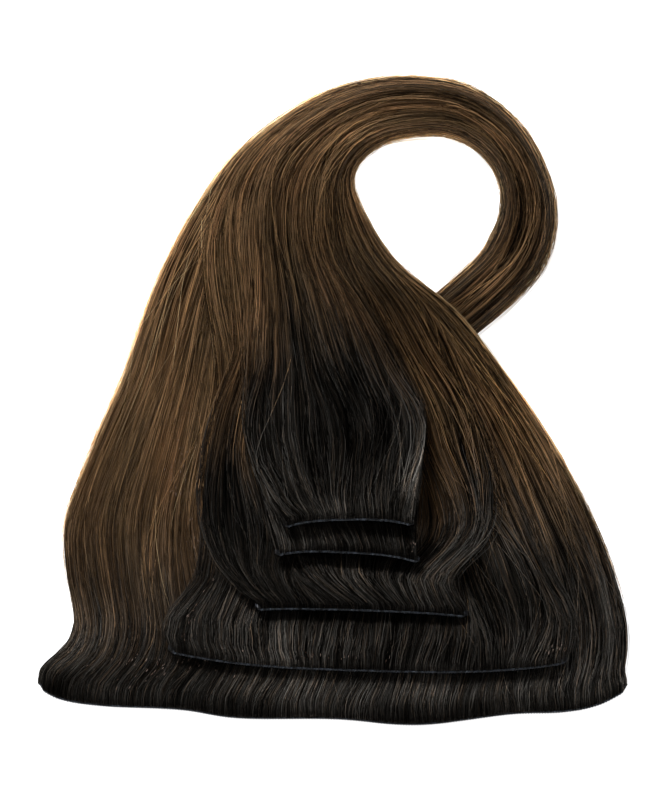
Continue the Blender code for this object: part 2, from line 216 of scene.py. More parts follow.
# How evenly the hair lies there, in patches of the same kind: less than 1 where its hairs tell apart less
EVEN = (
    (-100, -40, 50, 110, 0.46),
    (66, 4, 34, 50, 1.25),
    (80, 80, 16, 30, 1.35),
    (-60, -78, 30, 22, 0.75),
    (10, -126, 120, 12, 0.60),
    (24, 118, 40, 14, 0.50),
    (50, 30, 30, 30, 1.30),
)
# How the loose hair swells past its band's two ends and draws in again, in millimetres: how far from its
# band, and how far inside the layer's left and right sides it keeps. Less than nothing is outside them.
SIDES = {
    "weft_1": ((0, -0.6, 0.0), (4, -2.6, -0.4), (8, -1.6, 0.0), (13, -0.2, 0.0), (18, 0.0, 0.0)),
    "weft_2": (
        (0, 0.0, 0.0),
        (5, -3.6, -1.2),
        (14, -3.2, -3.2),
        (23, 4.7, -2.0),
        (31, 11.8, 0.5),
        (45, 15.0, 2.5),
        (70, 13.5, 3.0),
        (100, 9.5, 1.5),
        (130, 7.0, 0.0),
        (170, 0.0, 0.0),
    ),
    "weft_3": (
        (0, 0.0, 0.0),
        (5, -5.0, 2.0),
        (12, -8.8, 4.5),
        (17, -11.0, 1.0),
        (28, -11.4, -10.4),
        (38, -10.8, -13.4),
        (53, -9.0, -11.4),
        (68, -5.9, -7.4),
        (88, -0.5, -4.2),
        (109, 5.5, -1.0),
        (140, 5.0, 0.0),
        (170, 0.0, 0.0),
    ),
    "weft_4": ((0, 0.0, 0.0), (6, -0.6, -0.8), (15, -1.5, -1.8), (40, -3.0, -6.0), (90, 0.0, 0.0)),
    "weft_5": (
        (0, 0.0, 0.0),
        (8, -5.0, -2.4),
        (22, -8.4, -6.4),
        (38, -9.6, -11.6),
        (50, -8.2, -13.0),
        (70, -4.0, -9.0),
        (90, -0.5, -4.5),
        (110, 0.0, -1.0),
        (130, 0.0, 0.0),
    ),
}
# The tape's section, in millimetres inwards from its outer edge and up
TAPE_PROFILE = (
    (0.00, 0.80),
    (0.12, 1.30),
    (0.45, 1.58),
    (1.50, 1.50),
    (2.60, 1.42),
    (2.95, 1.10),
    (3.00, 0.70),
    (2.80, 0.15),
    (1.50, 0.04),
    (0.45, 0.02),
    (0.12, 0.30),
)
# The way of one overlock stitch round the tape's rim, in the same millimetres
STITCH_PATH = ((1.25, 1.60), (0.70, 1.70), (0.10, 1.50), (-0.10, 0.95), (-0.02, 0.35), (0.60, -0.02))
STITCH_STEP = 0.0012
STITCH_RADIUS = 0.00012

# Layers, in metres
SURFACE_STEP = 0.004  # between two places of a layer's tables
SURFACE_COLUMNS = 41
BACKING_STEP = 0.004  # between two sections of a layer's fine mesh
CLEAR = 0.0009  # between the upper faces of two layers
COVERED_SINK = 0.0010  # how far a layer sinks where another one covers it
HOLLOW = 0.0010  # how far a layer dips in front of the band that lies on it
HOLLOW_REACH = (0.0020, 0.0088)
# How dark the painted shadow makes the hair in that hollow, in front of the band
HOLLOW_PAINTED_SHADOW = 0.92
THIN_EDGE = 0.15
ROUND_CORNER = 0.0026
RIM = 0.0006  # of the tape's outer edge that the roots leave bare
NARROWEST = 0.02  # that a layer is taken to be, where hairs are spread by a length
# The fewest cells across a layer's fields, and how wide one is, for locks, tufts and patches of painted sheen
CELLS = ((6, 0.007), (4, 0.016), (4, 0.022))
LOCK_HEIGHT = 0.55 * MM
LOCKLET_HEIGHT = 0.22 * MM
PUFF_RISES = (-BAND_DEPTH, 0.009)
PUFF_FALLS = (0.010, 0.034)
LEAN_ENDS = (0.018, 0.070)  # where the roots' sideways lean dies out
DRIFT = 0.0012
DRIFT_OF_WIDTH = 0.010
KINK = 0.0004
LEAN = 0.10
GROWN_UNEVEN = 0.012  # how much later or sooner the brown comes in, from lock to lock
PAINTED_SHEEN_AT_ROOTS = (0.030, 0.120)  # where the patches of painted sheen at the roots fade out
GLOW_REACH = 0.0018  # of the painted glow along the thin outer hair, where light would come through
GLOW_STARTS = (0.030, 0.080)
BARE_SIDE = 0.0007  # of a layer's sides that only its loose hairs cover
TIP_BARE = 0.006  # of its tips too
BACKING_STARTS = 0.0025
BACKING_SINK = 0.00015  # how far the layer lies under its strands
BACKING_RAISE = 0.0001
BACKING_LOWEST = 0.0004
BACKING_THINNEST = 0.0002
BACKING_EDGE = 0.0003

# Strands, in metres
STRAND_POINTS = 12
SHORT_POINTS = 9
TUBE_SIDES = 3
LONG_STRAND = (0.060, 0.125)
SHORT_STRAND = (0.020, 0.046)
FRINGE_STRAND = (0.025, 0.080)
SPECK = (0.0004, 0.0013)
STRAND_WIDTH = (0.00015, 0.00032)
WEAVE = 0.00035  # how far a strand goes up and down among its neighbours
LIFT = (0.00005, 0.0009)  # how far strands lie above their layer
FRAY = 0.0013  # how far a weft's loose hairs lie outside its layer's sides
DIVE = 0.0009  # how far a strand's ends go down into the layer
WAVE = 0.0004  # how far a strand goes from side to side
TAME_CROSSING = 0.0009
STRAY_CROSSING = 0.0075
STRAY_LIFT = 0.0010
STRAY_WIDTH = 0.65
SHORTEST = 0.02  # that a long strand is left where the layer ends
SCATTER_ALONG = 0.0025  # of the strands round their cells' middles
SCATTER_ACROSS = 0.023
FRINGE_COUNT = 560
FRINGE_BEGINS = (0.030, 0.34)
FRINGE_OUT = (-0.0008, 0.0006)
FRINGE_REACH = 0.0019
LINT_LIFT = 0.0011
LOWEST_STRAND = 0.0002
GROWN_SCATTER = 0.008  # how much sooner or later the brown comes in, from hair to hair
MIDDLE_TONE = 0.7
FULL_TURN = 6.3

HAIR_VALUES = ("Grown", "Tone", "Contrast", "Painted_light", "Gold", "Across", "Along")
LAYER_TONE = 0.22
LAYER_GOLD = 0.25
ROOT_BLACK = (0.0225, 0.0212, 0.0192)
COOL_BROWN = (0.118, 0.076, 0.041)
WARM_BROWN = (0.140, 0.074, 0.035)
GOLDEN = (0.320, 0.190, 0.080)
PAINTED_GLOW_GOLDEN = (0.40, 0.29, 0.16)


def smooth(value, start, end):
    """0 before start, 1 after end, and an even S between them."""
    share = np.clip((value - start) / (end - start), 0.0, 1.0)
    return share * share * (3.0 - 2.0 * share)


def turned(degrees):
    """The unit vector at this angle from +X."""
    angle = math.radians(degrees)
    return np.array([math.cos(angle), math.sin(angle)])


def through(points, per_span=16):
    """A smooth line through the points, as many short steps, with the row number of each step."""
    points = np.array(points)
    ends = np.vstack([2 * points[0] - points[1], points, 2 * points[-1] - points[-2]])
    made = []
    for i in range(len(points) - 1):
        before, start, end, after = ends[i : i + 4]
        for t in np.arange(per_span) / per_span:
            linear = (end - before) * t
            square = (2 * before - 5 * start + 4 * end - after) * t**2
            cube = (3 * start - before - 3 * end + after) * t**3
            made.append(0.5 * (2 * start + linear + square + cube))
    made.append(points[-1])
    return np.array(made), np.arange(len(made)) / per_span


SAG, _ = through(WIDEST_BAND)


def band_point(weft, share, depth=0.0):
    """A point on a band: share runs from its left end to its right, depth from its outer edge inwards."""
    share = np.asarray(share, float)
    reach = np.clip(share, 0.0, 1.0) * 2.0 - 1.0
    bow = weft.bow * (1.0 - np.abs(reach) ** 3)
    if weft is WIDEST:
        bow = bow - np.interp(share, SAG[:, 0], SAG[:, 1])
    across = weft.across * FAN_WIDTH + (share - 0.5) * weft.width
    up = weft.up * FAN_LENGTH + ((share - 0.5) * weft.rise + bow) * weft.width + depth
    return np.stack(np.broadcast_arrays(across, up), axis=-1)


def edge_rows():
    """The left and right edge points of every section, from the widest band to the end of the tail."""
    rows = [tuple(band_point(WIDEST, np.array([0.0, 1.0]), ROOT_DEPTH))]
    for section in FAN_SECTIONS:
        rows.append((np.array(section[:2]) * FAN_SIZE, np.array(section[2:]) * FAN_SIZE))
    centre = LOOP_CENTRE * FAN_SIZE
    for turn, inside_share, width_share in LOOP:
        way = turned(turn)
        inside = inside_share * LOOP_RADIUS
        rows.append((centre + way * (inside + width_share * HANK_WIDTH), centre + way * inside))
    half_width = width_share * HANK_WIDTH / 2
    tail_centre = centre + way * (inside + half_width - TAIL_RADIUS)
    step = math.degrees(HAIR_LENGTH / 2 / TAIL_SECTIONS / TAIL_RADIUS)
    for number in range(1, TAIL_SECTIONS + 1):
        way = turned(turn - number * step)
        rows.append([tail_centre + way * (TAIL_RADIUS + side * half_width) for side in (1, -1)])
    return rows


def rounded_off(weft, share):
    """How far a weft's two lower corners are rounded off, from its outer edge inwards."""
    radius = ROUND_CORNER if weft is WIDEST else ROUND_CORNER / 2
    gap = np.clip(np.minimum(share, 1.0 - share) * weft.width, 0.0, radius)
    return radius - np.sqrt(radius**2 - (radius - gap) ** 2)


def patched(plan, lies):
    """The product of soft patches, at places of the plan in metres."""
    plan = plan * 1000
    made = np.ones(plan.shape[:-1])
    for across, up, wide, high, light in lies:
        off = ((plan[..., 0] - across) / wide) ** 2 + ((plan[..., 1] - up) / high) ** 2
        made = made * (1.0 + (light - 1.0) * np.exp(-off))
    return made


def between(table, row, column, down, right):
    """A value of a table past this row and column, by these parts of a step."""
    low = table[row, column] * (1 - right) + table[row, column + 1] * right
    high = table[row + 1, column] * (1 - right) + table[row + 1, column + 1] * right
    return low * (1 - down) + high * down


class Sweep:
    """The way that the hair takes. A place is a distance along it and a share across, from left to right."""

    def __init__(self):
        rows = edge_rows()
        self.left, self.row = through([row[0] for row in rows])
        self.right, _ = through([row[1] for row in rows])
        middle = (self.left + self.right) / 2
        steps = np.linalg.norm(np.diff(middle, axis=0), axis=1)
        self.along = np.concatenate([[0.0], np.cumsum(steps)])

    def at_row(self, row):
        return float(np.interp(row, self.row, self.along))

    def edges(self, along):
        def at(side):
            return np.stack([np.interp(along, self.along, side[:, k]) for k in (0, 1)], axis=-1)

        return at(self.left), at(self.right)

    def point(self, along, across):
        left, right = self.edges(along)
        return left + (right - left) * np.asarray(across)[..., None]

    def across_of(self, along, point):
        left, right = self.edges(along)
        chord = right - left
        return float(np.dot(point - left, chord) / np.dot(chord, chord))

    def nearest(self, point, last):
        """The distance along the sweep, before last, whose section passes nearest to the point."""
        tried = self.along[self.along <= last]
        left, right = self.edges(tried)
        chord = right - left
        share = np.clip(((point - left) * chord).sum(1) / (chord * chord).sum(1), 0.0, 1.0)
        gap = np.linalg.norm(left + chord * share[:, None] - point, axis=1)
        return float(tried[np.argmin(gap)])


class Field:
    """Smooth seeded noise over a sheet, from -1 to 1: cells across and cells along it."""

    def __init__(self, rng, across, along):
        self.size = np.array([along, across])
        self.table = rng.uniform(-1.0, 1.0, (along + 2, across + 2))

    def at(self, share, along):
        place = np.stack([np.clip(along, 0.0, 1.0), np.clip(share, 0.0, 1.0)]) * self.size[:, None, None]
        cell = np.minimum(place.astype(int), self.size[:, None, None])
        part = place - cell
        part = part * part * (3.0 - 2.0 * part)
        return between(self.table, *cell, *part)


class Layer:
    """One weft's hair: its plan, its height over the frame's own solid, and its locks."""

    def __init__(self, weft, sweep):
        self.weft = weft
        self.dress = DRESS[weft.name]
        self.sweep = sweep
        self.rng = np.random.default_rng(self.dress.seed)
        self.shift = np.zeros(2)
        self.neck = sweep.at_row(NECK_END)
        root = band_point(weft, np.array([0.0, 0.5, 1.0]), ROOT_DEPTH)
        self.start = 0.0 if weft is WIDEST else sweep.nearest((root[0] + root[2]) / 2, self.neck)
        self.root_left = sweep.across_of(self.start, root[0])
        self.root_right = sweep.across_of(self.start, root[2])
        first = [share * DROP_LENGTH for share in ROOT_STEPS]
        rest = int(round((HAIR_LENGTH - first[-1]) / STATION_STEP))
        self.away = np.array(first + list(np.linspace(first[-1], HAIR_LENGTH, rest + 1)[1:]))
        self.share = np.linspace(0.0, 1.0, 2 * weft.locks + 1)
        cells, wide_cells, widest_cells = (max(low, int(weft.width / cell)) for low, cell in CELLS)
        self.locks = Field(self.rng, cells, 9)
        self.fine = Field(self.rng, cells * 3, 14)
        self.drift = Field(self.rng, cells, 12)
        self.kink = Field(self.rng, cells * 2, 60)
        self.tuft = Field(self.rng, wide_cells, 10)
        self.shade = Field(self.rng, cells * 8, 3)
        # Random patches of painted sheen, strongest at the roots, and of uneven tone further along
        self.painted_light = Field(self.rng, widest_cells, 16)

    def across(self, along, share):
        """The share of the sweep that this share of the layer lies at."""
        weft = self.weft
        spread = smooth(along, self.start, self.start + SPREAD_LENGTH)
        gathered = smooth(along, self.start + SPREAD_LENGTH, self.neck)
        lefts = (self.root_left, weft.fan_left, weft.hank_left)
        rights = (self.root_right, weft.fan_right, weft.hank_right)
        ends = (lefts, rights)
        left, right = (root + (fan - root) * spread + (hank - fan) * gathered for root, fan, hank in ends)
        return left + (right - left) * share

    def place(self, away, share):
        """The plan point this far from the band, with each lock's own end at the tip."""
        uneven = np.abs(np.sin(share * self.weft.locks * math.pi * TIP_RHYTHM)) * TIP_STAGGER
        away = away - uneven * smooth(away, HAIR_LENGTH - TIP_LENGTH, HAIR_LENGTH)
        along = self.start + np.maximum(away, 0.0)
        point = self.sweep.point(along, self.across(along, share))
        start = np.full_like(along, self.start)
        sewn = band_point(self.weft, share, ROOT_DEPTH) - self.sweep.point(start, self.across(start, share))
        point = point + sewn * (1.0 - smooth(away, 0.0, MERGE_LENGTH))[..., None]
        # Roots start on the tape, short of where the solid starts
        point[..., 1] += np.minimum(away, 0.0)
        return point + self.shift

    def settle(self, vertices):
        """Takes the heights from the frame's solid: its lower face, at every section of the plan."""
        plan = self.place(*np.meshgrid(self.away, self.share, indexing="ij"))
        gap = np.linalg.norm(plan[:, :, None, :] - vertices[None, None, :, :2], axis=3)
        near = gap < np.maximum(gap.min(axis=2), 0.1 * MM)[..., None] + 1e-9
        bottom = np.where(near, vertices[None, None, :, 2], np.inf).min(axis=2)
        self.fine_away = np.arange(0.0, HAIR_LENGTH + SURFACE_STEP, SURFACE_STEP)
        self.fine_share = np.linspace(0.0, 1.0, SURFACE_COLUMNS)
        rows = np.stack([np.interp(self.fine_share, self.share, row) for row in bottom])
        height = np.stack([np.interp(self.fine_away, self.away, column) for column in rows.T], axis=1)
        for _ in range(3):
            padded = np.pad(height, ((1, 1), (0, 0)), mode="edge")
            height = (padded[:-2] + 2 * padded[1:-1] + padded[2:]) / 4
            padded = np.pad(height, ((0, 0), (1, 1)), mode="edge")
            height = (padded[:, :-2] + 2 * padded[:, 1:-1] + padded[:, 2:]) / 4
        self.bottom = height
        self.raised, self.covered, self.hollow = (np.zeros_like(height) for _ in range(3))

    def thickness(self, away, share):
        along = np.interp(away / HAIR_LENGTH, *zip(*LAYER_THICKNESS))
        dome = THIN_EDGE + (1.0 - THIN_EDGE) * (1.0 - np.abs(2.0 * np.clip(share, 0, 1) - 1.0) ** 4)
        return self.weft.thickness * along * dome

    def width(self, away):
        """How wide the layer is, this far from its band."""
        zero = np.zeros_like(away)
        return np.linalg.norm(self.place(away, zero + 1.0) - self.place(away, zero), axis=-1)

    def room(self, away):
        """The layer's width, but never so narrow that its hairs are thrown about."""
        return np.clip(self.width(away), NARROWEST, None)

    def relief(self, away, share):
        """The locks' own height over the smooth layer, and the roots' puff over the band."""
        along = away / HAIR_LENGTH
        size = np.sqrt(np.clip(self.width(away) / self.weft.width, 0.05, 1.0))
        locks = self.locks.at(share, along) * LOCK_HEIGHT * size
        fine = self.fine.at(share, along) * LOCKLET_HEIGHT * size
        tufts = 0.7 + 0.5 * self.kink.at(share, along * 0.3)
        puff = smooth(away, *PUFF_RISES) * (1.0 - smooth(away, *PUFF_FALLS))
        return (locks + fine) * smooth(away, 0.0, 0.012) + self.dress.puff * tufts * puff

    def sway(self, away, share):
        """How far the hair leans sideways from the even sweep, as a share of the layer."""
        along = away / HAIR_LENGTH
        width = self.room(away)
        inside = smooth(np.minimum(share, 1.0 - share), -0.02, 0.10)
        drift = self.drift.at(share, along) * np.minimum(DRIFT, width * DRIFT_OF_WIDTH)
        roots = 1.0 - smooth(away, *LEAN_ENDS)
        kink = self.kink.at(share, along) * KINK * roots
        # One line of the two fields for the whole length, so that each tuft leans one way
        line = np.full_like(along, 0.9)
        out = np.maximum(away, 0.0)
        lean = (self.drift.at(share, line) * LEAN + self.tuft.at(share, line) * self.dress.lean) * out * roots
        return (drift * smooth(away, 0.0, 0.03) + kink + lean) * inside / width

    def drawn_in(self, away, share):
        """The share that the loose hair takes, between its own two sides."""
        far, left, right = np.array(SIDES[self.weft.name]).T
        left, right = (np.interp(away * 1000, far, side) * MM for side in (left, right))
        width = self.room(away)
        return left / width + share * (1.0 - (left + right) / width)

    def points(self, away, share, lift, relief=1.0):
        """Places on the layer, in metres, lifted above its upper face."""
        away = away + rounded_off(self.weft, np.clip(share, 0.0, 1.0)) * (1.0 - smooth(away, 0.0, 0.010))
        leaned = self.drawn_in(away, share + self.sway(away, share))
        plan = self.place(away, leaned)
        under = self.look_up(self.bottom, away, leaned)
        # The roots lie over the tape, which stands higher than the layer's own start
        over = (self.band_top + 0.3 * MM - under) * (1.0 - smooth(away, 0.001, 0.010))
        body = np.maximum(self.thickness(away, share), np.maximum(over, 0.0))
        body = body + self.look_up(self.raised, away, share)
        covered = self.look_up(self.covered, away, share)
        loose = (self.relief(away, share) + lift) * (1.0 - covered) - COVERED_SINK * covered
        loose = loose - HOLLOW * self.look_up(self.hollow, away, share)
        return np.dstack([plan, under + body + loose * relief + lift * (1.0 - relief)])

    def look_up(self, table, away, share):
        """A value of a table over the layer, between its own places."""
        i = np.clip(away / SURFACE_STEP, 0.0, len(self.fine_away) - 1.001)
        j = np.clip(share, 0.0, 1.0) * (len(self.fine_share) - 1.001)
        row, column = i.astype(int), j.astype(int)
        return between(table, row, column, i - row, j - column)

    def grown(self, away, share):
        """0 where the hair has its root colour, 1 where its own brown has come in."""
        reach = self.shade.at(share, away / HAIR_LENGTH) * GROWN_UNEVEN
        at, black, brown = np.array(GROWTH[self.weft.name]).T
        black, brown = (np.interp(share, at, ends) * MM for ends in (black, brown))
        return smooth((away + reach - black) / (brown - black), 0.0, 1.0)

    def brightness(self, away, share):
        """Painted light and shade: random patches of painted sheen, strongest at the roots, the listed
        patches of painted highlight and shade, a painted glow and painted shadow in front of the next band.
        """
        roots = 1.0 - smooth(away, *PAINTED_SHEEN_AT_ROOTS)
        light = np.exp(self.painted_light.at(share, away / HAIR_LENGTH) * (0.15 + 0.55 * roots))
        light = light * patched(self.place(away, self.drawn_in(away, share)), PAINTED_LIGHT_PATCHES)
        if self.weft is WIDEST:
            # Painted glow along the thin outer hair, where light would come through, most at the left
            inside = np.maximum(np.minimum(share, 1.0 - share), 0.0) * self.width(away)
            glow = (0.7 + 0.5 * (share < 0.5)) * np.exp(-inside / GLOW_REACH)
            light = light * (1.0 + glow * smooth(away, *GLOW_STARTS))
        # Painted shadow in the hollow in front of the band above
        return light * (1.0 - HOLLOW_PAINTED_SHADOW * self.look_up(self.hollow, away, share))

    def contrast(self, away, share):
        """How much the hairs' own tones tell apart."""
        return patched(self.place(away, self.drawn_in(away, share)), EVEN)

    def golden(self, share):
        return self.dress.gold[0] + (self.dress.gold[1] - self.dress.gold[0]) * np.clip(share, 0.0, 1.0)


def make_mesh(name, points, quads, triangles, corner_uv, values):
    """A mesh from arrays, with its bake map and its named values."""
    mesh = bpy.data.meshes.new(name)
    corners = np.concatenate([quads.ravel(), triangles.ravel()]).astype(np.int32)
    starts = np.concatenate([np.arange(len(quads)) * 4, len(quads) * 4 + np.arange(len(triangles)) * 3])
    mesh.vertices.add(len(points))
    mesh.vertices.foreach_set("co", points.astype(np.float32).ravel())
    mesh.loops.add(len(corners))
    mesh.loops.foreach_set("vertex_index", corners)
    mesh.polygons.add(len(starts))
    mesh.polygons.foreach_set("loop_start", starts.astype(np.int32))
    mesh.update(calc_edges=True)
    mesh.shade_smooth()
    layer = mesh.uv_layers.new(name="OFBake")
    layer.data.foreach_set("uv", corner_uv.astype(np.float32).ravel())
    for key, value in values.items():
        made = mesh.attributes.new(key, "FLOAT", "POINT")
        made.data.foreach_set("value", value.astype(np.float32).ravel())
    return mesh


def in_scene(name, data):
    """A new object of the scene."""
    made = bpy.data.objects.new(name, data)
    bpy.context.scene.collection.objects.link(made)
    return made


def show(mesh, material, slot, *stands_for, place=(0.0, 0.0, 0.0), turn=0.0):
    """Puts a piece into the scene, on the one body."""
    mesh.materials.append(material)
    made = in_scene(mesh.name, mesh)
    made.location = place
    made.rotation_euler.z = turn
    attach(made, "root")
    if stands_for:
        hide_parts(*stands_for)
    return made


def grid_quads(rows, columns):
    i, j = np.meshgrid(np.arange(rows - 1), np.arange(columns - 1), indexing="ij")
    a = (i * columns + j).ravel()
    return np.stack([a, a + 1, a + columns + 1, a + columns], axis=1)


def tubes(points, radius):
    """Closed tapering tubes along lines of points: their vertices, faces and bake map."""
    sides = TUBE_SIDES
    count, steps = points.shape[:2]
    tangent = np.gradient(points, axis=1)
    tangent /= np.linalg.norm(tangent, axis=2, keepdims=True) + 1e-12
    side = np.cross(tangent, np.array([0.0, 0.0, 1.0]))
    side /= np.linalg.norm(side, axis=2, keepdims=True) + 1e-9
    rise = np.cross(side, tangent)
    angles = math.pi / 2 + np.arange(sides) * 2 * math.pi / sides
    ring = side[:, :, None, :] * np.cos(angles)[None, None, :, None]
    ring = ring + rise[:, :, None, :] * np.sin(angles)[None, None, :, None]
    vertices = points[:, :, None, :] + ring * radius[:, :, None, None]
    strand, step, edge = np.meshgrid(np.arange(count), np.arange(steps - 1), np.arange(sides), indexing="ij")
    base = (strand * steps + step) * sides
    after = (edge + 1) % sides
    faces = np.stack([base + edge, base + after, base + sides + after, base + sides + edge], axis=-1)
    first = np.arange(count)[:, None] * steps * sides
    last = first + (steps - 1) * sides
    caps = np.vstack([np.hstack([first, first + 2, first + 1]), np.hstack([last, last + 1, last + 2])])
    # Each tube has its own strip of the bake map, in four columns of strips
    columns = 4
    lines = math.ceil(count / columns)
    left = (strand % columns) / columns
    low = (strand // columns) / lines
    u0, u1 = (left + (step + end) / (steps - 1) * 0.98 / columns for end in (0, 1))
    v0, v1 = (low + (edge + end) / sides * 0.9 / lines for end in (0, 1))
    around = np.stack([u0, v0, u0, v1, u1, v1, u1, v0], axis=-1).reshape(-1, 2)
    cap_strand = caps[:, 0] // (steps * sides)
    cap_uv = np.stack([(cap_strand % columns) / columns, (cap_strand // columns) / lines], axis=1)
    cap_uv = np.repeat(cap_uv, 3, axis=0) + np.tile([[0.0, 0.0], [0.001, 0.0], [0.0, 0.0005]], (len(caps), 1))
    return vertices.reshape(-1, 3), faces.reshape(-1, 4), caps, np.vstack([around, cap_uv])


def smooth_surface(layer, last):
    """The layer's even upper face, as far along as last, for the next layer to lie on."""
    away = layer.fine_away[layer.fine_away <= last]
    grid = np.meshgrid(away, layer.fine_share, indexing="ij")
    points = layer.points(*grid, 0.0, relief=0.0)
    faces = [tuple(int(k) for k in face) for face in grid_quads(*grid[0].shape)]
    return BVHTree.FromPolygons([Vector(point) for point in points.reshape(-1, 3)], faces), points


def highest(surfaces, points):
    """The height of the highest surface at each point's place, endlessly low where there is none."""
    down = Vector((0.0, 0.0, -1.0))
    found = np.full(points.shape[:2], -np.inf)
    for i, j in np.ndindex(found.shape):
        above = Vector((points[i, j, 0], points[i, j, 1], 1.0))
        for tree in surfaces:
            hit = tree.ray_cast(above, down)[0]
            if hit is not None:
                found[i, j] = max(found[i, j], hit.z)
    return found


def around(table):
    """A table's neighbours of each place: before, after, left and right."""
    padded = np.pad(table, 1, mode="edge")
    return padded[:-2, 1:-1], padded[2:, 1:-1], padded[1:-1, :-2], padded[1:-1, 2:]


def blurred(table, times):
    for _ in range(times):
        before, after, left, right = around(table)
        table = (before + after + left + right + 2 * table) / 6
    return table


def widened(table, times):
    for _ in range(times):
        table = np.max([*around(table), table], axis=0)
    return table


def stack(layers, sweep):
    """Lifts each layer clear of those that it lies on, and marks where the ones above cover it."""
    surfaces = []
    for layer in layers:
        last = sweep.at_row(LIFTED_TO) - layer.start
        _, points = smooth_surface(layer, last)
        short = np.zeros_like(layer.raised)
        edge = 0.30 + 0.70 * smooth(np.minimum(layer.fine_share, 1.0 - layer.fine_share), 0.0, 0.10)
        needed = highest(surfaces, points) + CLEAR * edge - points[..., 2]
        short[: len(points)] = np.maximum(needed, 0.0)
        layer.raised = blurred(widened(short, 3), 10)
        surfaces.append(smooth_surface(layer, last)[0])
    for number, layer in enumerate(layers):
        grid = np.meshgrid(layer.fine_away, layer.fine_share, indexing="ij")
        points = layer.points(*grid, 0.0, relief=0.0)
        layer.seen = highest(surfaces, points) <= points[..., 2] + CLEAR / 2
        layer.covered = blurred(np.where(layer.seen, 0.0, 1.0), 1)
        # Where a band above stands just in front, the layer dips, and its hair takes the painted shadow
        for above in layers[number + 1 :]:
            weft = above.weft
            share = (points[..., 0] - above.shift[0] - weft.across * FAN_WIDTH) / weft.width + 0.5
            front = band_point(weft, share)[..., 1] + above.shift[1] - points[..., 1]
            beside = smooth(share, -0.02, 0.05) * (1.0 - smooth(share, 0.95, 1.02))
            near = smooth(front, -0.006, -0.001) * (1.0 - smooth(front, *HOLLOW_REACH))
            layer.hollow = np.maximum(layer.hollow, near * beside)


def visible_cells(layer):
    """Where the layer shows from above, a little of what goes under the next weft, and each cell's weight."""
    wider = widened(layer.seen.astype(float), 2)
    inside = (layer.fine_away > 0.001) & (layer.fine_away < HAIR_LENGTH - 0.004)
    area = layer.width(layer.fine_away)[:, None] * inside[:, None] * np.ones(len(layer.fine_share))
    weight = area * np.where(wider > 0.5, 1.0, 0.04)
    away, share = np.meshgrid(layer.fine_away, layer.fine_share, indexing="ij")
    return away.ravel(), share.ravel(), (weight / weight.sum()).ravel()


def steps_along(points):
    return np.linspace(0.0, 1.0, points)[None, :]


def waves(rng, t, slow, fast, each):
    """Each strand's own wave along it, from -1 to 1."""
    return np.sin(t * rng.uniform(slow, fast, each) + rng.uniform(0, FULL_TURN, each))


def long_strands(layer):
    """Loose hairs over the layer, evenly thick wherever it shows."""
    rng = layer.rng
    each = (layer.dress.long, 1)
    away, share, weight = visible_cells(layer)
    chosen = rng.choice(weight.size, layer.dress.long, p=weight)[:, None]
    middle = away[chosen] + rng.uniform(-SCATTER_ALONG, SCATTER_ALONG, each)
    across = share[chosen] + rng.uniform(-0.5, 0.5, each) * SCATTER_ACROSS
    fray = 0.0 if layer.weft is WIDEST else FRAY / layer.width(middle)
    across = across + rng.normal(0.0, 1.0, each) * fray
    across = np.clip(across, 0.0015 - 1.6 * fray, 0.9985 + 1.6 * fray)
    length = rng.uniform(*LONG_STRAND, each)
    begin = np.clip(middle - length / 2, 0.0, HAIR_LENGTH - SHORTEST)
    end = np.clip(middle + length / 2, SHORTEST, HAIR_LENGTH)
    t = steps_along(STRAND_POINTS)
    run = begin + (end - begin) * t
    # More hairs stray at the right, where the hank turns
    astray = rng.random(each) < 0.02 + 0.11 * smooth(across, 0.25, 0.70)
    crossing = rng.normal(0.0, 1.0, each) * np.where(astray, STRAY_CROSSING, TAME_CROSSING)
    wave = waves(rng, t, 2.0, 5.0, each)
    share = across + (crossing * (t - 0.5) * 2 + wave * WAVE) / layer.room(run)
    spare = np.where(astray, 0.003, 1.6 * fray - 0.001)
    share = np.clip(share, -spare, 1.0 + spare)
    lift = rng.uniform(*LIFT, each)
    ends = 1.0 - smooth(np.minimum(t, 1.0 - t), 0.0, 0.16)
    lift = np.where(astray, STRAY_LIFT, lift + WEAVE * waves(rng, t, 6.0, 16.0, each))
    return run, share, lift - (DIVE + lift) * ends, astray


def short_strands(layer):
    """Rooted hairs, from just behind the tape's rim up over the puffed roots."""
    rng = layer.rng
    each = (layer.dress.short, 1)
    root = np.sort(rng.random(each), axis=0)
    length = rng.uniform(*SHORT_STRAND, each)
    t = steps_along(SHORT_POINTS) ** 1.25
    begin = rng.uniform(0.0, 0.0009, each) - (ROOT_DEPTH - RIM)
    run = begin + length * t
    lean = rng.normal(0.0, 1.0, each) * np.where(rng.random(each) < 0.15, 0.0040, 0.0013)
    share = np.clip(root + lean * t / layer.room(np.maximum(run, 0.0)), 0.0, 1.0)
    lift = rng.uniform(0.0, 0.0007, each) * np.ones_like(run)
    lift = lift - (DIVE + lift) * smooth(t, 0.8, 1.0)
    lift = lift - 0.0003 * (1.0 - smooth(run, begin, begin + 0.0008))
    return run, share, lift, np.zeros(each, bool)


def fringe_strands(layer):
    """Fine hairs along the outlines of the whole, and a few that stray right across."""
    rng = layer.rng
    each = (FRINGE_COUNT, 1)
    t = steps_along(STRAND_POINTS)
    at_left = rng.random(each) < 0.5
    begin = rng.uniform(*FRINGE_BEGINS, each)
    run = begin + rng.uniform(*FRINGE_STRAND, each) * t
    width = layer.room(run)
    out = rng.uniform(*FRINGE_OUT, each) + rng.normal(0.0, FRINGE_REACH, each) * (t - 0.5)
    out = out + np.sin(t * 4.0 + rng.uniform(0, FULL_TURN, each)) * 0.0002
    share = np.where(at_left, -out / width, 1.0 + out / width)
    astray = rng.random(each) < 0.12
    across = rng.random(each) + rng.normal(0.0, 0.010, each) * (t - 0.5) / width
    share = np.where(astray, np.clip(across, 0.001, 0.999), share)
    lift = np.where(astray, 0.0012, rng.uniform(-0.0006, 0.0008, each)) * np.ones_like(run)
    return run, share, lift, astray


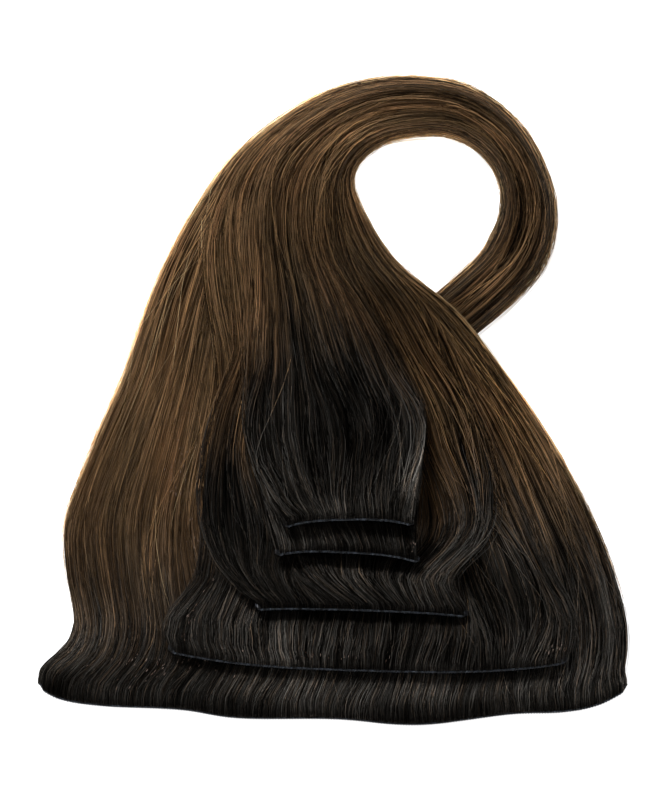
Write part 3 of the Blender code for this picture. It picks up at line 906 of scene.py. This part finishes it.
def lint(layer):
    """Specks of lint that lie along the hair, scattered round each spot."""
    rng = layer.rng
    runs, shares = [], []
    for share, away, wide, long, count in LINT[layer.weft.name]:
        runs.append(away * MM + rng.normal(0.0, long * MM, (count, 1)))
        shares.append(share + rng.normal(0.0, wide * MM / layer.weft.width, (count, 1)))
    begin = np.clip(np.concatenate(runs), 0.001, 0.2)
    run = begin + rng.uniform(*SPECK, begin.shape) * steps_along(3)
    share = np.concatenate(shares) + np.zeros_like(run)
    return run, share, np.full_like(run, LINT_LIFT), np.zeros(begin.shape, bool)


def strand_piece(layer, kind, material, made):
    """One mesh of strands, each with its own tone."""
    rng = layer.rng
    run, share, lift, astray = made
    points = layer.points(run, share, lift)
    points[..., 2] = np.maximum(points[..., 2], LOWEST_STRAND)
    count, steps = run.shape
    each = (count, 1)
    radius = rng.uniform(*STRAND_WIDTH, each) / 2
    radius = radius * (0.25 + 0.75 * np.sin(np.clip(steps_along(steps), 0.02, 0.98) * math.pi) ** 0.5)
    tone = rng.random(each) ** 3.0 * 2.8 + 1.0 * astray
    # Where the hair is drawn together its hairs tell apart more
    narrow = 1.0 - smooth(layer.width(run) / layer.weft.width, 0.20, 0.80)
    contrast = layer.contrast(run, share)
    tone = np.maximum(MIDDLE_TONE + (tone - MIDDLE_TONE) * (1.0 + 0.5 * narrow) * contrast, 0.0)
    gold = (rng.random(each) ** 1.5 * 0.6 + 0.5 * astray) * layer.golden(share[:, :1])
    grown = layer.grown(run + rng.normal(0.0, GROWN_SCATTER, each), share)
    radius = radius * np.where(astray, STRAY_WIDTH, 1.0)
    # The outer fringe is painted lighter and more golden: a painted glow, as if lit through from behind
    if kind == "fringe":
        tone, gold, radius = tone * 0.5 + 0.7, gold * 0.5 + 1.0, radius * 0.75
        grown = np.clip(grown + 0.45, 0.0, 1.0)
    values = {
        "grown": grown,
        "tone": tone,
        "contrast": contrast,
        "painted_light": layer.brightness(run, share),
        "gold": gold * np.ones_like(run),
        "across": share * layer.weft.width * 1000,
        "along": run,
    }
    values = {key: np.repeat(value.ravel(), TUBE_SIDES) for key, value in values.items()}
    show(make_mesh(f"{layer.weft.name}_{kind}", *tubes(points, radius), values), material, "hair")


def layer_piece(layer, material):
    """The layer under the loose strands, closed, with its locks and partings."""
    bare = BAND_DEPTH - RIM
    first = [-bare - 0.0001, -bare, -0.0008, 0.0006]
    away = np.concatenate([first, np.arange(BACKING_STARTS, HAIR_LENGTH - TIP_BARE, BACKING_STEP)])
    inside = 0.0005 if layer.weft is WIDEST else BARE_SIDE / layer.weft.width
    share = np.linspace(inside, 1.0 - inside, layer.dress.columns)
    run, across = np.meshgrid(away, share, indexing="ij")
    upper = layer.points(run, across, -BACKING_SINK)
    lower = upper.copy()
    lower[..., 2] = layer.look_up(layer.bottom, run, layer.drawn_in(run, across)) + BACKING_RAISE
    upper[..., 2] = np.maximum(upper[..., 2], BACKING_LOWEST)
    lower[..., 2] = np.minimum(lower[..., 2], upper[..., 2] - BACKING_THINNEST)
    upper[:, [0, -1], 2] = lower[:, [0, -1], 2] + BACKING_EDGE
    upper[[0, -1], :, 2] = lower[[0, -1], :, 2] + BACKING_EDGE
    rows, columns = run.shape
    size = rows * columns
    top = grid_quads(rows, columns)
    under = top[:, ::-1] + size
    rim = list(range(columns))
    rim += [i * columns + columns - 1 for i in range(1, rows)]
    rim += [(rows - 1) * columns + j for j in range(columns - 2, -1, -1)]
    rim += [i * columns for i in range(rows - 2, 0, -1)]
    sides = np.array([(b, a, a + size, b + size) for a, b in zip(rim, rim[1:] + rim[:1])])
    faces = np.vstack([top, under, sides])
    place = np.stack([across.ravel() * 0.47, run.ravel() / HAIR_LENGTH * 0.97 + 0.01], axis=1)
    uv = np.vstack([place + [0.01, 0.0], place + [0.51, 0.0]])[faces.ravel()]
    run, across = np.vstack([run, run]), np.vstack([across, across])
    values = {
        "grown": layer.grown(run, across),
        "tone": np.full(run.shape, LAYER_TONE),
        "contrast": layer.contrast(run, across),
        "painted_light": layer.brightness(run, across),
        "gold": layer.golden(across) * LAYER_GOLD,
        "across": across * layer.weft.width * 1000,
        "along": run,
    }
    points = np.vstack([upper.reshape(-1, 3), lower.reshape(-1, 3)])
    mesh = make_mesh(layer.weft.name + "_layer", points, faces, np.zeros((0, 3), int), uv, values)
    show(mesh, material, "hair", layer.weft.name + "_hair")


def tape_piece(layer, material):
    """The folded tape: a rounded strip with a soft wave, closed at its ends."""
    weft = layer.weft
    steps = int(weft.width / 0.002) + 1
    share = np.linspace(0.0, 1.0, steps)
    wave = Field(layer.rng, steps // 4, 3).at(share[None, :], np.zeros((1, steps)))[0] * 0.08
    rows = []
    for depth, height in TAPE_PROFILE:
        inset = rounded_off(weft, share) * (1.0 - depth / 3.0)
        plan = band_point(weft, share, (depth + wave * (depth < 1.0)) * MM + inset) + layer.shift
        up = layer.band_bottom + height * MM + wave * 0.5 * MM * (height > 1.0)
        rows.append(np.column_stack([plan, up]))
    points = np.array(rows).transpose(1, 0, 2)
    sides = len(TAPE_PROFILE)
    i, j = np.meshgrid(np.arange(steps - 1), np.arange(sides), indexing="ij")
    a, b = (i * sides + j).ravel(), (i * sides + (j + 1) % sides).ravel()
    faces = np.stack([a, a + sides, b + sides, b], axis=1)
    caps = []
    last = (steps - 1) * sides
    for corner in range(1, sides - 1):
        caps += [(0, corner, corner + 1), (last, last + corner + 1, last + corner)]
    u = i.ravel() / (steps - 1)
    v = j.ravel() / sides
    du, dv = 1 / (steps - 1), 1 / sides
    uv = np.stack([u, v, u + du, v, u + du, v + dv, u, v + dv], axis=1).reshape(-1, 2) * 0.98
    cap_uv = np.tile([[0.985, 0.985], [0.995, 0.985], [0.995, 0.995]], (len(caps), 1))
    values = {
        "along": np.repeat(share * weft.width * 1000, sides),
        "across": np.tile([depth for depth, height in TAPE_PROFILE], steps),
    }
    uv = np.vstack([uv, cap_uv])
    mesh = make_mesh(weft.name + "_tape", points.reshape(-1, 3), faces, np.array(caps), uv, values)
    show(mesh, material, "band", weft.name + "_band")


def stitch_piece(layer, material):
    """Overlock stitches round the tape's outer rim."""
    weft = layer.weft
    count = int(weft.width / STITCH_STEP)
    middle = (np.arange(count) + 2.5) / (count + 4)
    depth, height = np.array(STITCH_PATH).T
    slant = np.linspace(0.5, -0.5, len(depth)) * STITCH_STEP / weft.width
    share = middle[:, None] + slant[None, :]
    plan = band_point(weft, share, depth[None, :] * MM + rounded_off(weft, share)) + layer.shift
    points = np.dstack([plan, layer.band_bottom + height[None, :] * MM + np.zeros_like(share)])
    radius = np.full(share.shape, STITCH_RADIUS)
    radius[:, [0, -1]] *= 0.5
    made = tubes(points, radius)
    along = np.repeat((share * weft.width * 1000).ravel(), TUBE_SIDES)
    values = {"along": along, "across": np.zeros_like(along)}
    show(make_mesh(weft.name + "_stitches", *made, values), material, "band")


def bar(half_length, half_width, steps=8):
    """The outline of a bar with two round ends."""
    points = []
    middle = half_length - half_width
    for side, start in ((1, -90.0), (-1, 90.0)):
        for angle in np.linspace(start, start + 180.0, steps):
            way = turned(angle)
            points.append((side * middle + way[0] * half_width, way[1] * half_width))
    return np.array(points)


def clip_mesh(name):
    """A snap clip: a sprung frame with a tongue, closed on a lower bow with a comb, a lug at each end."""
    vertices, faces = [], []

    def loops(arch, *outlines):
        """Rings of vertices, each an outline at a height, arched along the clip."""
        base = len(vertices)
        for outline, height in outlines:
            vertices.extend((x, y, height + arch * (1.0 - (2 * x / CLIP_LENGTH) ** 2)) for x, y in outline)
        return base, len(outlines[0][0])

    def ring(outer, inner, low, high, arch):
        """A flat ring."""
        base, size = loops(arch, (outer, low), (outer, high), (inner, high), (inner, low))
        for k in range(4):
            here, there = base + k * size, base + ((k + 1) % 4) * size
            for i in range(size):
                after = (i + 1) % size
                faces.append((here + i, here + after, there + after, there + i))

    def plate(outline, low, high, arch=0.0):
        base, size = loops(arch, (outline, low), (outline, high))
        for i in range(size):
            a, b = base + i, base + (i + 1) % size
            faces.append((a, b, b + size, a + size))
        faces.append(tuple(base + size + i for i in range(size)))
        faces.append(tuple(base + size - 1 - i for i in range(size)))

    half_length, half_depth = CLIP_LENGTH / 2, CLIP_DEPTH / 2
    outer = bar(half_length, half_depth)
    inner = bar(half_length - 0.0022, half_depth - 0.0019)
    ring(outer, inner, 0.0019, 0.0026, 0.0001)
    lower_inner = bar(half_length - 0.0026, half_depth - 0.0024)
    ring(bar(half_length, half_depth - 0.0004), lower_inner, 0.0, 0.0007, 0.0)
    plate(bar(half_length - 0.0012, 0.0011), 0.0011, 0.0017, 0.0002)
    for side in (-1, 1):
        plate(bar(0.0021, 0.0019, 6) + [side * (half_length - 0.0022), 0.0], 0.0001, 0.0028)
    teeth = 11
    for number in range(teeth):
        x = (number - (teeth - 1) / 2) * 0.0021
        tooth = [(x - 0.00035, -0.0012), (x + 0.00035, -0.0012), (x + 0.00022, 0.0031), (x - 0.00022, 0.0031)]
        plate(tooth, 0.0007, 0.0012)
    mesh = bpy.data.meshes.new(name)
    mesh.from_pydata([tuple(map(float, v)) for v in vertices], [], faces)
    return mesh


def clip_pieces(layer, material):
    weft = layer.weft
    for number in range(weft.clips):
        share = (number + 0.5) / weft.clips
        before, after = band_point(weft, share - 0.02), band_point(weft, share + 0.02)
        angle = math.atan2(after[1] - before[1], after[0] - before[0])
        inwards = np.array([-math.sin(angle), math.cos(angle)])
        middle = band_point(weft, share) + inwards * (CLIP_INSET + CLIP_DEPTH / 2) + layer.shift
        node = f"{weft.name}_clip_{number + 1}"
        place = (middle[0], middle[1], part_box(node)[0].z)
        made = show(clip_mesh(node + "_spring"), material, "clip", node, place=place, turn=angle)
        bevel = made.modifiers.new("rounded_rims", "BEVEL")
        bevel.width = 0.00018
        bevel.segments = 2
        bevel.limit_method = "ANGLE"


def spaced(values):
    """Values by the names of their sockets, which have spaces."""
    return {key.replace("_", " "): value for key, value in values.items()}


class Nodes:
    """Adds shader nodes to a tree, with their values and links."""

    def __init__(self, tree):
        self.tree = tree

    def put(self, socket, value):
        """Links a socket, or sets it to a number or a colour."""
        if isinstance(value, bpy.types.NodeSocket):
            self.tree.links.new(value, socket)
        elif isinstance(value, tuple):
            socket.default_value = (*value, 1.0)
        else:
            socket.default_value = value

    def add(self, kind, values, **settings):
        node = self.tree.nodes.new("ShaderNode" + kind)
        for key, value in settings.items():
            setattr(node, key, value)
        for key, value in values.items():
            self.put(node.inputs[key], value)
        return node.outputs

    def maths(self, operation, first, second, clamp=False):
        return self.add("Math", {0: first, 1: second}, operation=operation, use_clamp=clamp)[0]

    def mix(self, factor, first, second, blend="MIX"):
        return self.add("Mix", {0: factor, 6: first, 7: second}, data_type="RGBA", blend_type=blend)[2]

    def place(self, x, y):
        return self.add("CombineXYZ", {"X": x, "Y": y})[0]

    def noise(self, place, scale, detail, roughness=0.5):
        values = {"Vector": place, "Scale": scale, "Detail": detail, "Roughness": roughness}
        return self.add("TexNoise", values)["Fac"]

    def spread(self, value, **ends):
        """A value stretched from some ends to others."""
        return self.add("MapRange", {"Value": value, **spaced(ends)})[0]

    def bump(self, height, strength, distance):
        return self.add("Bump", {"Height": height, "Strength": strength, "Distance": distance})[0]

    def values(self, *names):
        """A mesh's named values, for the inputs of the same names."""
        return {name: self.add("Attribute", {}, attribute_name=name.lower())["Fac"] for name in names}


def new_group(name, given, made):
    """A group with named inputs and outputs: its nodes, and the two ends' sockets."""
    tree = bpy.data.node_groups.new(name, "ShaderNodeTree")
    for way, sockets in (("INPUT", given), ("OUTPUT", made)):
        for socket, kind in sockets.items():
            tree.interface.new_socket(socket, in_out=way, socket_type="NodeSocket" + kind)
    return Nodes(tree), tree.nodes.new("NodeGroupInput").outputs, tree.nodes.new("NodeGroupOutput").inputs


def new_material(name, **values):
    """A material with these values on its shader: the material, its nodes, and the shader's inputs."""
    material = bpy.data.materials.new(name)
    material.use_nodes = True
    shader = material.node_tree.nodes["Principled BSDF"].inputs
    nodes = Nodes(material.node_tree)
    for key, value in spaced(values).items():
        nodes.put(shader[key], value)
    return material, nodes, shader


def hair_tint():
    """The colour of hair from its values: root to brown, streaked along, some of it golden, times the painted
    light and shade.
    """
    given_kinds = {**dict.fromkeys(HAIR_VALUES, "Float"), "Golden": "Color"}
    made_kinds = {"Color": "Color", "Roughness": "Float", "Height": "Float"}
    nodes, given, made = new_group("hair_tint", given_kinds, made_kinds)
    maths, mix = nodes.maths, nodes.mix

    def streaks(per_mm, per_metre, detail):
        """Noise drawn out along the hair, spread to 0 and 1."""
        across = maths("MULTIPLY", given["Across"], per_mm)
        along = maths("MULTIPLY", given["Along"], per_metre)
        noise = nodes.noise(nodes.place(across, along), 1.0, detail, 0.62)
        return maths("MULTIPLY", maths("SUBTRACT", noise, 0.32), 2.8, True)

    fine = streaks(2.50, 24.0, 2.0)
    broad = streaks(0.36, 11.0, 4.0)
    bold = streaks(0.11, 8.0, 3.0)
    warm = streaks(0.05, 16.0, 2.0)
    grown = maths("ADD", given["Grown"], maths("MULTIPLY", maths("SUBTRACT", fine, 0.5), 0.24), True)
    colour = mix(grown, ROOT_BLACK, mix(warm, COOL_BROWN, WARM_BROWN))
    golden = maths("MULTIPLY", maths("MULTIPLY", given["Gold"], grown), 0.80, True)
    colour = mix(golden, colour, given["Golden"])
    streaked = maths("ADD", maths("MULTIPLY", fine, 0.70), maths("MULTIPLY", broad, 0.60))
    streaked = maths("ADD", streaked, maths("MULTIPLY", bold, 0.50))
    streaked = maths("MULTIPLY", maths("SUBTRACT", streaked, 0.90), given["Contrast"])
    tone = maths("ADD", maths("MULTIPLY", given["Tone"], 1.10), 0.25)
    tone = maths("MAXIMUM", maths("ADD", tone, streaked), 0.04)
    # The black roots are streakier than the brown
    steep = maths("ADD", maths("MULTIPLY", grown, -0.50), 1.50)
    # Painted light: the tone is multiplied by the painted sheen, highlight, glow and shadow
    tone = maths("MULTIPLY", maths("POWER", tone, steep), given["Painted_light"])
    shade = nodes.add("CombineColor", {0: tone, 1: tone, 2: tone})[0]
    nodes.put(made["Color"], mix(1.0, colour, shade, "MULTIPLY"))
    nodes.put(made["Roughness"], maths("ADD", maths("MULTIPLY", fine, 0.20), 0.28))
    nodes.put(made["Height"], fine)
    return nodes.tree


def hair_material(group, name, golden, bump=0.0):
    material, nodes, shader = new_material(
        name, Metallic=0.35, Specular_IOR_Level=0.05, Specular_Tint=(1.0, 0.84, 0.66)
    )
    tint = nodes.add("Group", {**nodes.values(*HAIR_VALUES), "Golden": golden}, node_tree=group)
    nodes.put(shader["Base Color"], tint["Color"])
    nodes.put(shader["Roughness"], tint["Roughness"])
    if bump:
        nodes.put(shader["Normal"], nodes.bump(tint["Height"], 0.8, bump))
    return material


def weave():
    """A fine slanting weave with painted glints: its colour and height."""
    kinds = {"Along": "Float", "Across": "Float", "Dark": "Color", "Light": "Color"}
    nodes, given, made = new_group("weave", kinds, {"Color": "Color", "Height": "Float"})
    place = nodes.place(given["Along"], given["Across"])
    values = {"Scale": 1.1, "Distortion": 0.8, "Vector": place}
    wave = nodes.add("TexWave", values, bands_direction="DIAGONAL")["Fac"]
    ends = {"From_Min": 0.40, "From_Max": 0.68, "To_Min": 0.15, "To_Max": 5.0}
    painted_glints = nodes.spread(nodes.noise(place, 0.55, 2.0), **ends)
    colour = nodes.mix(wave, given["Dark"], given["Light"])
    nodes.put(made["Color"], nodes.mix(1.0, colour, painted_glints, "MULTIPLY"))
    nodes.put(made["Height"], wave)
    return nodes.tree


def tape_material(group, name, colour, roughness):
    """Black polyester: a woven tape, or twisted thread on the stitches."""
    material, nodes, shader = new_material(name, Roughness=roughness)
    dark, light = (tuple(c * share for c in colour) for share in (0.5, 1.7))
    values = {**nodes.values("Along", "Across"), "Dark": dark, "Light": light}
    made = nodes.add("Group", values, node_tree=group)
    nodes.put(shader["Base Color"], made["Color"])
    nodes.put(shader["Normal"], nodes.bump(made["Height"], 0.5, 0.0001))
    return material


def lint_material():
    """Pale pinkish fluff, a little uneven."""
    material, nodes, shader = new_material("pale_lint", Roughness=0.9)
    tone = nodes.values("Tone")["Tone"]
    nodes.put(shader["Base Color"], nodes.mix(tone, (0.16, 0.085, 0.055), (0.48, 0.36, 0.30)))
    return material


def clip_material():
    """Dark brown lacquer on spring steel, a little worn and dusty."""
    material, nodes, shader = new_material("lacquered_spring_steel", Metallic=0.75)
    noise = nodes.noise(nodes.add("TexCoord", {})["Object"], 900.0, 5.0)
    nodes.put(shader["Base Color"], nodes.mix(noise, (0.014, 0.012, 0.011), (0.050, 0.044, 0.040)))
    nodes.put(shader["Roughness"], nodes.spread(noise, To_Min=0.22, To_Max=0.48))
    return material


def studio():
    """A bright pale floor, soft light from behind the loop, and the camera straight above."""
    bpy.ops.mesh.primitive_plane_add(size=6.0, location=(0.0, 0.0, -0.0004))
    floor = bpy.context.object
    floor.name = "floor"
    white = (1.0, 1.0, 1.0)
    pale = {"Base_Color": (0.85, 0.85, 0.85), "Roughness": 0.9}
    glow = {"Emission_Color": white, "Emission_Strength": 0.94}
    floor.data.materials.append(new_material("pale_floor", **pale, **glow)[0])
    lights = (
        ("key", (-0.50, 1.20, 1.10), 0.35, 31.0),
        ("side", (-1.40, 0.10, 0.90), 0.40, 7.0),
        ("overhead", (0.05, 0.25, 2.90), 0.45, 12.0),
    )
    for name, where, size, power in lights:
        data = bpy.data.lights.new(name, "AREA")
        data.shape = "DISK"
        data.size = size
        data.energy = power
        made = in_scene(name, data)
        made.location = where
        made.rotation_euler = (-Vector(where)).to_track_quat("-Z", "Y").to_euler()
    world = bpy.data.worlds.new("studio")
    bpy.context.scene.world = world
    world.use_nodes = True
    background = world.node_tree.nodes["Background"]
    background.inputs["Color"].default_value = (*white, 1.0)
    background.inputs["Strength"].default_value = 0.04
    distance = 2.4
    hair_height = 0.008
    framed_height = 0.3394
    sensor = 36.0
    data = bpy.data.cameras.new("camera")
    data.lens = sensor * (distance - hair_height) / framed_height
    camera = in_scene("camera", data)
    camera.location = (0.0006, 0.0004, distance)
    bpy.context.scene.camera = camera
    bpy.context.scene.view_settings.view_transform = "Standard"


def main():
    studio()
    sweep = Sweep()
    layers = [Layer(weft, sweep) for weft in WEFTS]
    # The frame has its origin under the object's middle, so the plan moves with the widest weft's hair
    plan = layers[0].place(*np.meshgrid(layers[0].away, layers[0].share, indexing="ij")).reshape(-1, 2)
    low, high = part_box("weft_1_hair")
    shift = np.array([low.x + high.x, low.y + high.y]) / 2 - (plan.min(0) + plan.max(0)) / 2
    for layer in layers:
        layer.shift = shift
        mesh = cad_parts[layer.weft.name + "_hair"].data
        low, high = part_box(layer.weft.name + "_band")
        layer.band_bottom, layer.band_top = low.z, high.z
        layer.settle(np.array([v.co for v in mesh.vertices]))
    stack(layers, sweep)
    tint = hair_tint()
    under = hair_material(tint, "hair_layer", GOLDEN, 0.00025)
    loose = hair_material(tint, "loose_hair", GOLDEN)
    # The fringe's golden colour is a painted glow
    pale = hair_material(tint, "outer_hair_painted_glow", PAINTED_GLOW_GOLDEN)
    woven = weave()
    tape = tape_material(woven, "black_tape", (0.012, 0.014, 0.018), 0.34)
    # A lit and a shaded copy of one thread, painted: this lighter one is for the upper wefts' stitches
    thread = tape_material(woven, "thread_painted_lit", (0.032, 0.038, 0.045), 0.26)
    shaded_thread = tape_material(woven, "thread_painted_shaded", (0.022, 0.026, 0.031), 0.34)
    fluff = lint_material()
    steel = clip_material()
    for layer in layers:
        layer_piece(layer, under)
        strand_piece(layer, "strands", loose, long_strands(layer))
        strand_piece(layer, "roots", loose, short_strands(layer))
        if layer.weft is WIDEST:
            strand_piece(layer, "fringe", pale, fringe_strands(layer))
        if layer.weft.name in LINT:
            strand_piece(layer, "lint", fluff, lint(layer))
        tape_piece(layer, tape)
        # The two lowest wefts' stitches take the painted shade, the upper ones the painted light
        stitch_piece(layer, shaded_thread if layer.weft.clips > 2 else thread)
        clip_pieces(layer, steel)


main()
